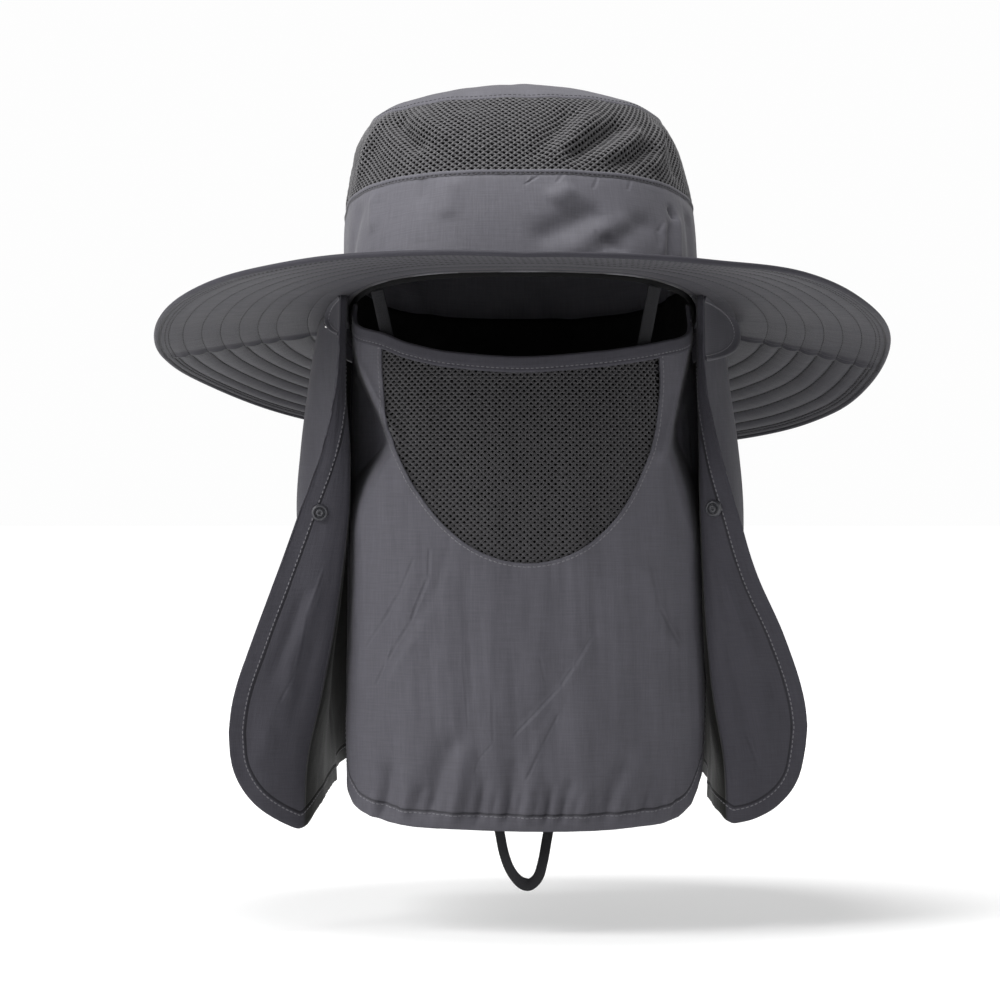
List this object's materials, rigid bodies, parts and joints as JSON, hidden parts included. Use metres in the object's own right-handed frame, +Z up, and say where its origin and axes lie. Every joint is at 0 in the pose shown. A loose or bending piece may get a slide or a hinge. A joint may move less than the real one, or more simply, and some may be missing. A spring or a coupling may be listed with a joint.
{
  "type": "bucket hat with neck flap and mask",
  "caption": "Wide-brimmed cloth bucket hat with a net crown panel, a neck flap with turned-out front edges, a face mask with a net window, and a chin strap loop.",
  "frame": {"origin": "middle of the head opening, level with the seam between crown and brim", "axes": "+Z up, -Y to the front of the hat, +X to the right as seen from the front"},
  "size_m": [0.3597, 0.3868, 0.3867],
  "materials": {
    "woven_cloth": "fine plain weave, matt, slightly silvery",
    "brim_cloth": "fine plain weave quilted in concentric rows",
    "lining_cloth": "soft matt lining",
    "net": "hexagonal knitted net",
    "webbing": "narrow flat webbing",
    "snap_plastic": "moulded snap",
    "snap_metal": "bright snap"
  },
  "bodies": {
    "root": {"crown_top": "woven_cloth", "crown_mesh": "net", "crown_band": "woven_cloth", "sweatband": "lining_cloth", "brim_front": "brim_cloth", "brim_back": "brim_cloth", "mask_panel": "woven_cloth", "mask_mesh": "net", "mask_top_band": "woven_cloth", "neck_flap": "woven_cloth", "tab_left": "woven_cloth", "tab_right": "woven_cloth", "corner_snap_left": "snap_metal", "corner_snap_right": "snap_metal", "lapel_snap_left": "snap_plastic", "lapel_snap_right": "snap_plastic", "chin_strap": "webbing"}
  },
  "joints": []
}
